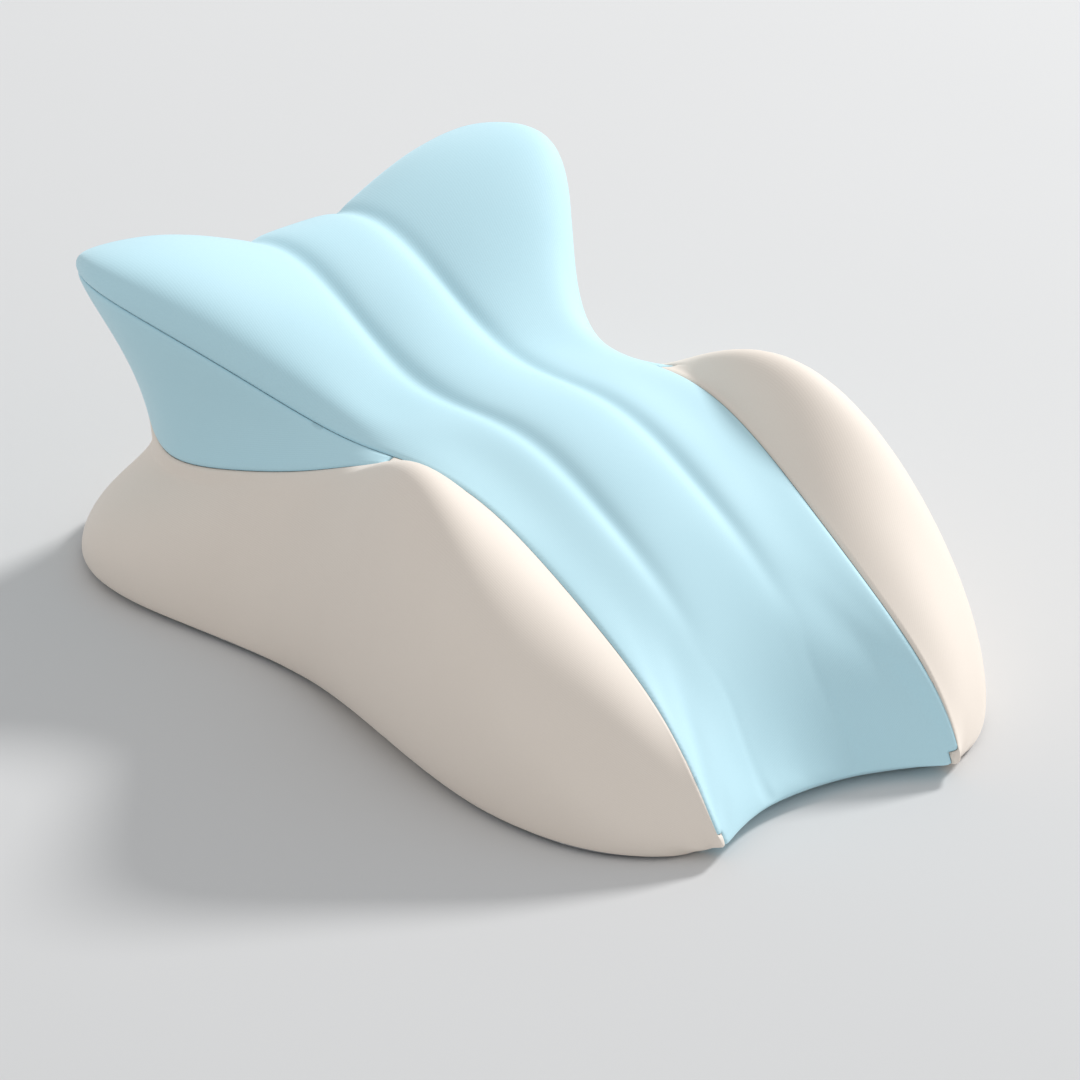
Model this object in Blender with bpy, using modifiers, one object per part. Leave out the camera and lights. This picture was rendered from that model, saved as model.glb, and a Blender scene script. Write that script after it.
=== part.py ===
"""Foam cervical traction pillow: a sewn two-colour cover with a zip, over one moulded foam core.

The pillow lies on the floor plane with its low end at -Y and its head end at +Y. X runs across it.
One coarse cage gives the outer shape. The cover panels and the foam core are all cut from that shape.
"""

import math

import bmesh
import bpy
import numpy as np
from mathutils import Vector

MM = 0.001
WELD = 0.001 * MM

# Finished size of the whole pillow.
LENGTH = 392 * MM
WIDTH = 268 * MM
HEIGHT = 138 * MM

# The rails below are drawn in millimetres for a pillow of this size, then scaled to the finished size.
PATTERN_LENGTH = 392 * MM
PATTERN_WIDTH = 268 * MM
PATTERN_HEIGHT = 138 * MM

# Cover and clearances.
CLOTH = 1.6 * MM
GAP = 0.3 * MM
SEAM_GAP = 0.5 * MM
FOAM_GAP = 0.6 * MM
LINING_TUCK = 0.2

# The two grooves along the top.
GROOVE_OFFSET = 24 * MM
GROOVE_HALF_WIDTH = 7.5 * MM
GROOVE_DEPTH = 4 * MM
GROOVE_START = 0.12
GROOVE_FULL = 0.25

# The front edge.
NOSE_HEIGHT = 7 * MM
NOSE_UNDERCUT = 8 * MM

# Zip across the rear of the head rest.
ZIP_LENGTH = 134 * MM
ZIP_SLOT_HALF = 4 * MM
TAPE_THICKNESS = 0.6 * MM
TAPE_HEIGHT = 11 * MM
TAPE_END = 3 * MM
TOOTH_PITCH = 2.5 * MM
TOOTH_WIDTH = 0.9 * MM
TOOTH_REACH = 2.9 * MM
BEAD_WIDTH = 1.0 * MM
CHAIN_THICKNESS = 1.4 * MM
STOP_LENGTH = 2.4 * MM
SLIDER_LENGTH = 9 * MM
SLIDER_PLATE = 1.2 * MM
SLIDER_FLANGE = 0.7 * MM
SLIDER_CLEARANCE = 0.3 * MM
BAIL_INNER = 1.5 * MM
BAIL_OUTER = 2.5 * MM
BAIL_WIDTH = 1.6 * MM
BAIL_STEPS = 12
TAB_LENGTH = 21 * MM
TAB_WIDTH = 6.4 * MM
TAB_THICKNESS = 1.0 * MM
TAB_EYE_HALF = 1.4 * MM

# Stations along the pillow, as shares of its length from the low end to the head end.
ROWS = (0.0, 0.035, 0.10, 0.20, 0.31, 0.42, 0.53, 0.64, 0.75, 0.85, 0.93, 1.0)
HEAD_REST_ROW = 6
LAST_ROW = len(ROWS) - 1
COLUMNS = 6

# Each rail runs from the low end to the head end: where it starts and stops along the pillow, how far it
# is from the middle and how high it is, at each of its stations.
STATIONS = (0.0, 0.035, 0.10, 0.25, 0.42, 0.55, 0.68, 0.82, 0.93, 1.0)
HEAD_STATIONS = (0.53, 0.64, 0.75, 0.85, 0.93, 1.0)
RAILS = {
    "seam": {
        "ends": (-38, 367),
        "across": (63, 65, 63, 65, 68, 73, 68, 128, 125, 100),
        "up": (7, 29, 51, 77, 103, 93, 83, 133, 130, 123),
    },
    "band": {
        "ends": (10, 338),
        "across": (70, 74, 84, 104, 99, 98),
        "up": (88, 79, 87, 90, 93, 99),
    },
    "join": {
        "ends": (-5, 339),
        "across": (66, 81, 103, 105, 84, 72),
        "up": (87, 73, 59, 41, 50, 57),
    },
    "valley": {
        "ends": (-31, 346),
        "across": (69, 78, 87, 88, 82, 81, 92, 109, 85, 60),
        "up": (6, 28, 56, 88, 121, 97, 57, 54, 39, 28),
    },
    "crest": {
        "ends": (-31, 347),
        "across": (73, 85, 104, 123, 107, 81, 91, 107, 87, 67),
        "up": (5, 17, 33, 81, 137, 96, 59, 52, 38, 20),
    },
    "bulge": {
        "ends": (-26, 347),
        "across": (78, 98, 114, 132, 131, 118, 112, 140, 123, 82),
        "up": (4, 13, 35, 49, 34, 30, 31, 27, 22, 16),
    },
    "floor": {
        "ends": (-23, 344),
        "across": (77, 99, 114, 121, 102, 107, 120, 132, 124, 106),
        "up": (0, 0, 0, 0, 0, 0, 0, 0, 0, 0),
    },
}
RINGS = ("seam", "band", "join", "valley", "crest", "bulge", "lower", "floor")
FLOOR_RING = len(RINGS) - 1
LOWER_HEIGHT = 7
LOWER_SHARE = 0.4
LOWER_TUCK = 0.25
SEAM_TUCK = (1.5, 3.0)

# The middle of the top, and how the top surface swells between the grooves and the seams.
MIDDLE_ENDS = (-16, 346)
MIDDLE_UP = (7, 13, 50, 85, 110, 104, 99, 122, 123, 110)
SWELL_STATIONS = (0.0, 0.2, 0.5, 0.75, 1.0)
MID_SWELL = (0, -2, -2, 6, 12)
EDGE_SWELL = (0, 0, 1, 12, 2)
MID_SHARE = 0.45
EDGE_SHARE = 0.82
EDGE_SHARE_FRONT = 0.86

PANELS = (
    "top_panel",
    "band_left",
    "band_right",
    "band_rear",
    "side_panel_left",
    "side_panel_right",
    "base_panel",
)

PALE_BLUE = (0.62, 0.83, 0.92)
CREAM = (0.86, 0.79, 0.72)
GREY = (0.42, 0.44, 0.46)
FOAM_WHITE = (0.90, 0.88, 0.82)
ZIP_BLUE = (0.50, 0.72, 0.82)
NICKEL = (0.72, 0.72, 0.70)


# ---------------------------------------------------------------- helpers

def clear_scene():
    for item in list(bpy.data.objects):
        bpy.data.objects.remove(item, do_unlink=True)


def new_collection(name):
    collection = bpy.data.collections.new(name)
    bpy.context.scene.collection.children.link(collection)
    return collection


def material(name, colour, roughness, metallic=0.0):
    made = bpy.data.materials.new(name)
    made.use_nodes = True
    shader = made.node_tree.nodes["Principled BSDF"]
    shader.inputs["Base Color"].default_value = (*colour, 1.0)
    shader.inputs["Roughness"].default_value = roughness
    shader.inputs["Metallic"].default_value = metallic
    made.diffuse_color = (*colour, 1.0)
    return made


def object_from(name, bm, collection, finish=None):
    mesh = bpy.data.meshes.new(name)
    bm.to_mesh(mesh)
    bm.free()
    made = bpy.data.objects.new(name, mesh)
    collection.objects.link(made)
    if finish is not None:
        mesh.materials.clear()
        mesh.materials.append(finish)
    return made


def box(bm, low, high):
    """A box between two corners, added to a bmesh."""
    size = Vector(high) - Vector(low)
    middle = (Vector(high) + Vector(low)) / 2
    made = bmesh.ops.create_cube(bm, size=1.0)
    bmesh.ops.scale(bm, vec=size, verts=made["verts"])
    bmesh.ops.translate(bm, vec=middle, verts=made["verts"])


def box_object(name, low, high, collection, finish=None):
    bm = bmesh.new()
    box(bm, low, high)
    return object_from(name, bm, collection, finish)


def make_cutter(item):
    item.hide_render = True
    item.display_type = "WIRE"


def boolean(item, tool, operation):
    cut = item.modifiers.new(f"{operation.lower()}_{tool.name}", "BOOLEAN")
    cut.operation = operation
    cut.solver = "EXACT"
    cut.object = tool


def curve_through(stations, values, at):
    """A natural cubic curve through the values at their stations."""
    x = np.array(stations, float)
    y = np.array(values, float)
    step = np.diff(x)
    count = len(x)
    system = np.eye(count)
    target = np.zeros(count)
    for i in range(1, count - 1):
        system[i, i - 1] = step[i - 1]
        system[i, i] = 2 * (step[i - 1] + step[i])
        system[i, i + 1] = step[i]
        target[i] = 6 * ((y[i + 1] - y[i]) / step[i] - (y[i] - y[i - 1]) / step[i - 1])
    bend = np.linalg.solve(system, target)
    at = np.maximum(np.array(at, float), x[0])
    left = np.clip(np.searchsorted(x, at) - 1, 0, count - 2)
    width = step[left]
    a = (x[left + 1] - at) / width
    b = (at - x[left]) / width
    bow = ((a**3 - a) * bend[left] + (b**3 - b) * bend[left + 1]) * width**2 / 6
    return a * y[left] + b * y[left + 1] + bow


# ---------------------------------------------------------------- the outer shape

def pattern_scale():
    return np.array([WIDTH / PATTERN_WIDTH, LENGTH / PATTERN_LENGTH, HEIGHT / PATTERN_HEIGHT])


def ring_points():
    """The points of each ring on the +X side, one for each row, in metres."""
    rows = np.array(ROWS)
    rings = {}
    for name, rail in RAILS.items():
        stations = STATIONS if len(rail["across"]) == len(STATIONS) else HEAD_STATIONS
        start, stop = rail["ends"]
        across = curve_through(stations, rail["across"], rows)
        up = curve_through(stations, rail["up"], rows)
        rings[name] = np.stack([across, start + (stop - start) * rows, up], axis=1)
    # Ahead of the head rest the band closes up, so its two rails are tucked in beside the seam.
    toward = rings["valley"] - rings["seam"]
    toward /= np.linalg.norm(toward, axis=1)[:, None]
    tucked = slice(0, HEAD_REST_ROW + 1)
    for name, tuck in zip(("band", "join"), SEAM_TUCK):
        rings[name][tucked] = (rings["seam"] + toward * tuck)[tucked]
    # The lower ring rounds the side into the floor.
    lower = rings["bulge"].copy()
    lower[:, 0] += LOWER_TUCK * (rings["floor"][:, 0] - rings["bulge"][:, 0])
    lower[:, 2] = np.minimum(LOWER_HEIGHT, rings["bulge"][:, 2] * LOWER_SHARE)
    rings["lower"] = lower
    scale = pattern_scale() * MM
    points = {}
    for index, name in enumerate(RINGS):
        points[name] = rings[name] * scale
        points[name][0, 2] = NOSE_HEIGHT * (1 - index / FLOOR_RING)
    return points


def top_columns(seam):
    """The points of the top, column by column from the middle to the seam, one for each row."""
    rows = np.array(ROWS)
    scale = pattern_scale() * MM
    middle_up = curve_through(STATIONS, MIDDLE_UP, rows) * scale[2]
    middle_up[0] = NOSE_HEIGHT
    mid_swell = curve_through(SWELL_STATIONS, MID_SWELL, rows) * scale[2]
    edge_swell = curve_through(SWELL_STATIONS, EDGE_SWELL, rows) * scale[2]
    depth = GROOVE_DEPTH * np.clip((rows - GROOVE_START) / (GROOVE_FULL - GROOVE_START), 0, 1)
    reach = seam[:, 0]
    inner = np.full(len(rows), GROOVE_OFFSET - GROOVE_HALF_WIDTH)
    outer = np.full(len(rows), GROOVE_OFFSET + GROOVE_HALF_WIDTH)
    bottom = np.full(len(rows), GROOVE_OFFSET)
    none = np.zeros(len(rows))
    edge_share = np.interp(rows, (0.0, 0.1), (EDGE_SHARE_FRONT, EDGE_SHARE))
    columns = (
        (none, none),
        (inner, none),
        (bottom, -depth),
        (outer, none),
        (outer + (reach - outer) * MID_SHARE, mid_swell),
        (outer + (reach - outer) * edge_share, edge_swell),
        (reach, none),
    )
    start, stop = (end * scale[1] for end in MIDDLE_ENDS)
    made = []
    for across, swell in columns:
        share = (across / reach) ** 2
        up = middle_up + (seam[:, 2] - middle_up) * share + swell
        first = start + (seam[0, 1] - start) * share
        last = stop + (seam[-1, 1] - stop) * share
        made.append(np.stack([across, first + (last - first) * rows, up], axis=1))
    return made


def cage_place(rings, columns, row, column, ring):
    """Where one cage vertex goes. Ring 0 is the top's own edge, and the underside uses the floor ring."""
    side = -1 if column < 0 else 1
    top = columns[abs(column)]
    if ring == 0:
        return Vector((side * top[row, 0], top[row, 1], top[row, 2]))
    points = rings[RINGS[ring]]
    if abs(column) == COLUMNS:
        return Vector((side * points[row, 0], points[row, 1], points[row, 2]))
    share = top[row, 0] / columns[COLUMNS][row, 0]
    setback = share**2 * (points[0, 1] - columns[COLUMNS][0, 1])
    undercut = (1 - share**2) * NOSE_UNDERCUT * (ring / FLOOR_RING) ** 2
    front = top[0, 1] + setback + undercut
    rear = points[LAST_ROW, 1]
    along = front + (rear - front) * ROWS[row]
    # The front wall drops straight down from the top, so the blue cloth doesn't spread under the toes.
    across = top[0, 0] if row == 0 else points[row, 0] * share
    return Vector((side * across, along, points[row, 2]))


def panel_of(face, row_layer, column_layer, ring_layer, underside):
    """The cover panel that a cage face belongs to."""
    rows = [vert[row_layer] for vert in face.verts]
    columns = [vert[column_layer] for vert in face.verts]
    rings = [vert[ring_layer] for vert in face.verts]
    if face in underside:
        return "base_panel"
    corner = max(abs(column) for column in columns) == COLUMNS
    if max(rings) == 0 or (max(rows) == 0 and not corner):
        return "top_panel"
    rear = min(rows) == LAST_ROW
    if max(rings) <= 2 and rear:
        return "band_rear"
    left = sum(columns) < 0
    if max(rings) <= 2 and min(rows) >= HEAD_REST_ROW:
        return "band_left" if left else "band_right"
    return "side_panel_left" if left else "side_panel_right"


def build_cage(collection):
    """A grid for the top, its edge extruded down ring by ring, and a second grid for the underside."""
    bm = bmesh.new()
    row_layer = bm.verts.layers.int.new("row")
    column_layer = bm.verts.layers.int.new("column")
    ring_layer = bm.verts.layers.int.new("ring")
    bmesh.ops.create_grid(bm, x_segments=2 * COLUMNS, y_segments=LAST_ROW, size=1.0)
    for vert in bm.verts:
        vert[column_layer] = round(vert.co.x * COLUMNS)
        vert[row_layer] = round((vert.co.y + 1) / 2 * LAST_ROW)
    copied = bmesh.ops.duplicate(bm, geom=bm.verts[:] + bm.edges[:] + bm.faces[:])["geom"]
    underside = {item for item in copied if isinstance(item, bmesh.types.BMFace)}
    bmesh.ops.reverse_faces(bm, faces=list(underside))
    for face in underside:
        for vert in face.verts:
            vert[ring_layer] = FLOOR_RING
    edge = [item for item in bm.edges if item.is_boundary and item.verts[0][ring_layer] == 0]
    for ring in range(1, FLOOR_RING + 1):
        grown = bmesh.ops.extrude_edge_only(bm, edges=edge)["geom"]
        for item in grown:
            if isinstance(item, bmesh.types.BMVert):
                item[ring_layer] = ring
        edge = [
            item for item in grown
            if isinstance(item, bmesh.types.BMEdge) and all(vert[ring_layer] == ring for vert in item.verts)
        ]
    rings = ring_points()
    columns = top_columns(rings["seam"])
    for vert in bm.verts:
        vert.co = cage_place(rings, columns, vert[row_layer], vert[column_layer], vert[ring_layer])
    for face in bm.faces:
        name = panel_of(face, row_layer, column_layer, ring_layer, underside)
        face.material_index = PANELS.index(name)
    floor = [vert for vert in bm.verts if vert[ring_layer] == FLOOR_RING]
    bmesh.ops.remove_doubles(bm, verts=floor, dist=WELD)
    bmesh.ops.recalc_face_normals(bm, faces=bm.faces[:])
    cage = object_from("shape_cage", bm, collection)
    for name in PANELS:
        cage.data.materials.append(bpy.data.materials.new(f"pattern_{name}"))
    smooth = cage.modifiers.new("smooth", "SUBSURF")
    smooth.levels = 1
    smooth.render_levels = 1
    smooth.use_limit_surface = False
    make_cutter(cage)
    return cage


def smoothed(cage):
    """The smoothed body as a mesh of its own."""
    bpy.context.view_layer.update()
    graph = bpy.context.evaluated_depsgraph_get()
    return bpy.data.meshes.new_from_object(cage.evaluated_get(graph))


def trim_to_size(cage):
    """Smoothing draws the corners in, so the cage is scaled until the smooth body has the finished size."""
    body = smoothed(cage)
    points = np.array([vert.co[:] for vert in body.vertices])
    bpy.data.meshes.remove(body)
    low = points.min(axis=0)
    high = points.max(axis=0)
    scale = np.array([WIDTH, LENGTH, HEIGHT]) / (high - low)
    middle = np.array([0.0, (low[1] + high[1]) / 2, low[2]])
    for vert in cage.data.vertices:
        vert.co = Vector((np.array(vert.co[:]) - middle) * scale)
    cage.data.update()


def rear_wall(cage):
    """The point on the middle of the rear wall, half way between its two rings. The zip runs through it."""
    row = cage.data.attributes["row"].data
    column = cage.data.attributes["column"].data
    ring = cage.data.attributes["ring"].data
    found = [
        vert.co for vert in cage.data.vertices
        if row[vert.index].value == LAST_ROW
        and column[vert.index].value == 0
        and ring[vert.index].value in (1, 2)
    ]
    return (found[0] + found[1]) / 2


# ---------------------------------------------------------------- cover and foam

def body_bmesh(body):
    """The smooth body in triangles, with each vertex's own outward direction stored on it.

    The cover and the foam are both made from these triangles, so their facing surfaces match.
    """
    bm = bmesh.new()
    bm.from_mesh(body)
    outward = bm.verts.layers.float_vector.new("outward")
    bmesh.ops.triangulate(bm, faces=bm.faces[:], quad_method="SHORT_EDGE")
    bm.normal_update()
    for vert in bm.verts:
        vert[outward] = vert.normal
    return bm, outward


def draw_in_edge(bm, distance):
    """Moves the open edge of a panel into the panel, so that neighbours don't touch.

    Each edge vertex keeps its direction into the panel on the layer that is returned.
    """
    into = bm.verts.layers.float_vector.new("into")
    shift = {}
    for edge in bm.edges:
        if not edge.is_boundary:
            continue
        face = edge.link_faces[0]
        run = (edge.verts[1].co - edge.verts[0].co).normalized()
        inward = face.normal.cross(run)
        if inward.dot(face.calc_center_median() - edge.verts[0].co) < 0:
            inward.negate()
        for vert in edge.verts:
            shift.setdefault(vert, []).append(inward)
    for vert, pulls in shift.items():
        mean = sum(pulls, Vector()) / len(pulls)
        mean.normalize()
        vert[into] = mean / max(0.5, mean.dot(pulls[0]))
        vert.co += vert[into] * distance
    return into


def cover_panel(name, body, collection, finish):
    """One panel of the cover: its patch of the body, thickened inward by the cloth's thickness.

    The lining side ends a little short of the face, because sharp corners crowd it.
    """
    bm, outward = body_bmesh(body)
    index = PANELS.index(name)
    others = [face for face in bm.faces if face.material_index != index]
    bmesh.ops.delete(bm, geom=others, context="FACES")
    into = draw_in_edge(bm, SEAM_GAP / 2)
    grown = bmesh.ops.extrude_face_region(bm, geom=bm.faces[:], use_keep_orig=True)["geom"]
    for item in grown:
        if isinstance(item, bmesh.types.BMVert):
            item.co += item[into] * LINING_TUCK * CLOTH - item[outward] * CLOTH
    for face in bm.faces:
        face.material_index = 0
    bmesh.ops.recalc_face_normals(bm, faces=bm.faces[:])
    # Neighbours' rims face each other, so twisted quads are all split the same way.
    bmesh.ops.triangulate(bm, faces=bm.faces[:], quad_method="SHORT_EDGE")
    return object_from(name, bm, collection, finish)


def foam_core(body, collection, finish):
    """The moulded block: the whole body drawn in by the cloth and a clearance."""
    bm, outward = body_bmesh(body)
    for vert in bm.verts:
        vert.co -= vert[outward] * (CLOTH + FOAM_GAP)
    for face in bm.faces:
        face.material_index = 0
    return object_from("foam_core", bm, collection, finish)


# ---------------------------------------------------------------- zip

def zip_levels(wall):
    """Heights of the zip's layers, measured along Y from the foam outward."""
    tape_out = wall.y - CLOTH - GAP
    chain_in = tape_out + GAP
    chain_out = chain_in + CHAIN_THICKNESS
    plate_in = chain_out + SLIDER_CLEARANCE
    return {
        "tape_in": tape_out - TAPE_THICKNESS,
        "tape_out": tape_out,
        "chain_in": chain_in,
        "chain_out": chain_out,
        "plate_in": plate_in,
        "plate_out": plate_in + SLIDER_PLATE,
        "tab_axis": plate_in + SLIDER_PLATE + SLIDER_CLEARANCE + TAB_THICKNESS / 2,
    }


def bead_inner():
    """How far a row's bead is from the zip's centre line: half a tooth's reach past it and a clearance."""
    return (TOOTH_REACH + GAP) / 2


def tape(name, side, wall, level, collection, finish):
    half = ZIP_LENGTH / 2 + TAPE_END
    near = wall.z + side * GAP
    far = wall.z + side * (GAP + TAPE_HEIGHT)
    low = (-half, level["tape_in"], min(near, far))
    high = (half, level["tape_out"], max(near, far))
    return box_object(name, low, high, collection, finish)


def flat_shape(name, points, thickness, collection, finish=None):
    """A flat outline in the X-Y plane as a filled 2D curve, extruded to a thickness."""
    curve = bpy.data.curves.new(name, "CURVE")
    curve.dimensions = "2D"
    curve.fill_mode = "BOTH"
    curve.extrude = thickness / 2
    spline = curve.splines.new("POLY")
    spline.points.add(len(points) - 1)
    for point, (x, y) in zip(spline.points, points):
        point.co = (x, y, 0.0, 1.0)
    spline.use_cyclic_u = True
    made = bpy.data.objects.new(name, curve)
    collection.objects.link(made)
    if finish is not None:
        curve.materials.append(finish)
    return made


def tooth_row(name, side, wall, level, collection, finish):
    """One row of teeth on its bead, as a comb. The lower row is half a pitch along, so the rows mesh."""
    inner = bead_inner()
    outer = inner + BEAD_WIDTH
    tip = inner - TOOTH_REACH
    half = ZIP_LENGTH / 2
    count = int(ZIP_LENGTH / TOOTH_PITCH) - 1
    shift = 0.0 if side > 0 else TOOTH_PITCH / 2
    outline = [(-half, outer), (-half, inner)]
    for i in range(count):
        x = -half + TOOTH_PITCH * (i + 0.5) + shift
        outline += [
            (x - TOOTH_WIDTH / 2, inner),
            (x - TOOTH_WIDTH / 2, tip),
            (x + TOOTH_WIDTH / 2, tip),
            (x + TOOTH_WIDTH / 2, inner),
        ]
    outline += [(half, inner), (half, outer)]
    made = flat_shape(name, outline, CHAIN_THICKNESS, collection, finish)
    made.rotation_euler = (math.radians(90 * side), 0.0, 0.0)
    made.location = (0.0, (level["chain_in"] + level["chain_out"]) / 2, wall.z)
    return made


def slider(wall, level, park, collection, helpers, finish):
    """Outer plate, two flanges that hug the beads, and the bail that holds the pull tab."""
    reach = bead_inner() + BEAD_WIDTH + GAP
    outside = reach + SLIDER_FLANGE
    flange_in = level["chain_in"] + GAP
    outline = [
        (-outside, level["plate_out"]),
        (-outside, flange_in),
        (-reach, flange_in),
        (-reach, level["plate_in"]),
        (reach, level["plate_in"]),
        (reach, flange_in),
        (outside, flange_in),
        (outside, level["plate_out"]),
    ]
    shifted = [(z, y - level["tab_axis"]) for z, y in outline]
    body = flat_shape("zip_slider", shifted, SLIDER_LENGTH, collection, finish)
    body.rotation_euler = (0.0, math.radians(-90), 0.0)
    body.location = (park, level["tab_axis"], wall.z)
    foot = level["plate_out"] - SLIDER_PLATE / 2 - level["tab_axis"]
    outer_arc = [
        (BAIL_OUTER * math.cos(math.pi * i / BAIL_STEPS), BAIL_OUTER * math.sin(math.pi * i / BAIL_STEPS))
        for i in range(BAIL_STEPS + 1)
    ]
    inner_arc = [(x * BAIL_INNER / BAIL_OUTER, y * BAIL_INNER / BAIL_OUTER) for x, y in reversed(outer_arc)]
    outline = [(BAIL_OUTER, foot)] + outer_arc + [(-BAIL_OUTER, foot), (-BAIL_INNER, foot)]
    outline += inner_arc + [(BAIL_INNER, foot)]
    bail = flat_shape("slider_bail_shape", outline, BAIL_WIDTH, helpers)
    bail.location = body.location
    make_cutter(bail)
    return body, bail


def pull_tab(wall, level, park, collection, finish):
    """A flat tab with an eye. Its end bar lies under the bail, on the hinge axis."""
    bar = TAB_THICKNESS / 2
    eye_end = BAIL_OUTER + 2 * GAP
    bm = bmesh.new()
    half = TAB_WIDTH / 2
    box(bm, (-TAB_LENGTH, -bar, -half), (bar, bar, half))
    made = object_from("zip_pull_tab", bm, collection, finish)
    made.location = (park, level["tab_axis"], wall.z)
    return made, (-eye_end, -bar)


def solidified_curve(item):
    """A curve object turned into a mesh object of the same name and place."""
    bpy.context.view_layer.update()
    graph = bpy.context.evaluated_depsgraph_get()
    mesh = bpy.data.meshes.new_from_object(item.evaluated_get(graph))
    name = item.name
    place = item.matrix_world.copy()
    homes = list(item.users_collection)
    hidden = item.hide_render
    bpy.data.objects.remove(item, do_unlink=True)
    made = bpy.data.objects.new(name, mesh)
    made.matrix_world = place
    for home in homes:
        home.objects.link(made)
    weld = made.modifiers.new("weld", "WELD")
    weld.merge_threshold = WELD
    if hidden:
        make_cutter(made)
    return made


def build_zip(wall, collection, helpers):
    level = zip_levels(wall)
    cloth = material("zip_tape", ZIP_BLUE, 0.85)
    tape("zip_tape_upper", 1, wall, level, collection, cloth)
    tape("zip_tape_lower", -1, wall, level, collection, cloth)
    nylon = material("zip_teeth", ZIP_BLUE, 0.45)
    for name, side in (("zip_teeth_upper", 1), ("zip_teeth_lower", -1)):
        solidified_curve(tooth_row(name, side, wall, level, collection, nylon))
    metal = material("zip_metal", NICKEL, 0.3, 0.9)
    park = ZIP_LENGTH / 2 - STOP_LENGTH - SLIDER_LENGTH / 2
    body, bail = slider(wall, level, park, collection, helpers, metal)
    body = solidified_curve(body)
    bail = solidified_curve(bail)
    boolean(body, bail, "UNION")
    tab, eye = pull_tab(wall, level, park, collection, material("zip_pull", NICKEL, 0.35, 0.9))
    bm = bmesh.new()
    box(bm, (eye[0], -TAB_THICKNESS, -TAB_EYE_HALF), (eye[1], TAB_THICKNESS, TAB_EYE_HALF))
    cutter = object_from("tab_eye_cutter", bm, helpers)
    cutter.location = tab.location
    make_cutter(cutter)
    boolean(tab, cutter, "DIFFERENCE")
    round_off = tab.modifiers.new("soft_edges", "BEVEL")
    round_off.width = 0.2 * MM
    round_off.segments = 2
    # Stops past the ends of the two rows: a pair at the closed end and one box at the open end.
    outer = bead_inner() + BEAD_WIDTH
    stop = material("zip_stop", NICKEL, 0.35, 0.9)
    end = ZIP_LENGTH / 2 + GAP
    for name, side in (("zip_top_stop_upper", 1), ("zip_top_stop_lower", -1)):
        near = wall.z + side * GAP
        far = wall.z + side * outer
        low = (end, level["chain_in"], min(near, far))
        high = (end + STOP_LENGTH, level["chain_out"], max(near, far))
        box_object(name, low, high, collection, stop)
    low = (-end - STOP_LENGTH, level["chain_in"], wall.z - outer)
    high = (-end, level["chain_out"], wall.z + outer)
    box_object("zip_bottom_stop", low, high, collection, stop)
    return level


# ---------------------------------------------------------------- the pillow

def build():
    clear_scene()
    pillow = new_collection("cervical_traction_pillow")
    helpers = new_collection("construction")
    cage = build_cage(helpers)
    trim_to_size(cage)
    wall = rear_wall(cage)
    body = smoothed(cage)

    colours = {"top_panel": PALE_BLUE, "base_panel": GREY}
    made = {}
    for name in PANELS:
        colour = colours.get(name, PALE_BLUE if name.startswith("band") else CREAM)
        made[name] = cover_panel(name, body, pillow, material(name, colour, 0.85))
    core = foam_core(body, pillow, material("foam", FOAM_WHITE, 0.95))

    level = build_zip(wall, pillow, helpers)
    half = ZIP_LENGTH / 2 + GAP + STOP_LENGTH + GAP
    slot = box_object(
        "zip_slot_cutter",
        (-half, wall.y - 3 * CLOTH, wall.z - ZIP_SLOT_HALF),
        (half, wall.y + 3 * CLOTH, wall.z + ZIP_SLOT_HALF),
        helpers,
    )
    make_cutter(slot)
    boolean(made["band_rear"], slot, "DIFFERENCE")
    # The foam gives way to the tapes.
    pocket_half = ZIP_LENGTH / 2 + TAPE_END + 2 * GAP
    pocket_height = TAPE_HEIGHT + 3 * GAP
    pocket = box_object(
        "tape_pocket_cutter",
        (-pocket_half, level["tape_in"] - GAP, wall.z - pocket_height),
        (pocket_half, wall.y + 3 * CLOTH, wall.z + pocket_height),
        helpers,
    )
    make_cutter(pocket)
    boolean(core, pocket, "DIFFERENCE")


build()
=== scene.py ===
# %% [markdown]
# # A two-colour foam traction pillow
#
# The pillow stretches the neck of someone lying on their back. A high head rest with two wings stands at
# one end, a long slope with two grooves runs down to the other, and two cream pods lie along the sides.
# This lesson dresses the measured parts: it sews a smooth cover over them, gives every piece its finish,
# and sets up a plain studio.

# %% Load the measured parts
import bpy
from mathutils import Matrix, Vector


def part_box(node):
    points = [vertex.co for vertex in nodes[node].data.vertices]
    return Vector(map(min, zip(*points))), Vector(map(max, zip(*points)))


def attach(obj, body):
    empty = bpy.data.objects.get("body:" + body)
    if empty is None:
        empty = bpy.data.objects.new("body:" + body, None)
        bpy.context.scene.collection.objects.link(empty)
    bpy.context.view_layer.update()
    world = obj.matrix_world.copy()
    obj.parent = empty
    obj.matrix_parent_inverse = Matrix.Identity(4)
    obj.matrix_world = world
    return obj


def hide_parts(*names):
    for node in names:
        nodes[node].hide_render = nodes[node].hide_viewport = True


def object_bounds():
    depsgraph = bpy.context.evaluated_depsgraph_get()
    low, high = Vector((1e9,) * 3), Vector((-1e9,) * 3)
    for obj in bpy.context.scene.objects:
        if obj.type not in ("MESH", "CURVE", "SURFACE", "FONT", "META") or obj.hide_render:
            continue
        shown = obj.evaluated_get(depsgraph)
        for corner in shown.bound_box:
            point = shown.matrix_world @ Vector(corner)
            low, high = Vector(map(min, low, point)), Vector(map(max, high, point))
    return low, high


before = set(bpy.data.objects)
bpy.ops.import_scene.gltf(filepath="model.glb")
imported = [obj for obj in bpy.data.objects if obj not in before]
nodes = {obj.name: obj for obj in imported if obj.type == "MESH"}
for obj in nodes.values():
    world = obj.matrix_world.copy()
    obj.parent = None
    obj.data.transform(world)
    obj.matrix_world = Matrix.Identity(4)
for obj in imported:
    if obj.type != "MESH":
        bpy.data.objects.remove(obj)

cad_low, cad_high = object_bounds()
print("measured size in mm:", [round(1000 * v) for v in cad_high - cad_low])

# %% Names used everywhere
import math

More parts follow.
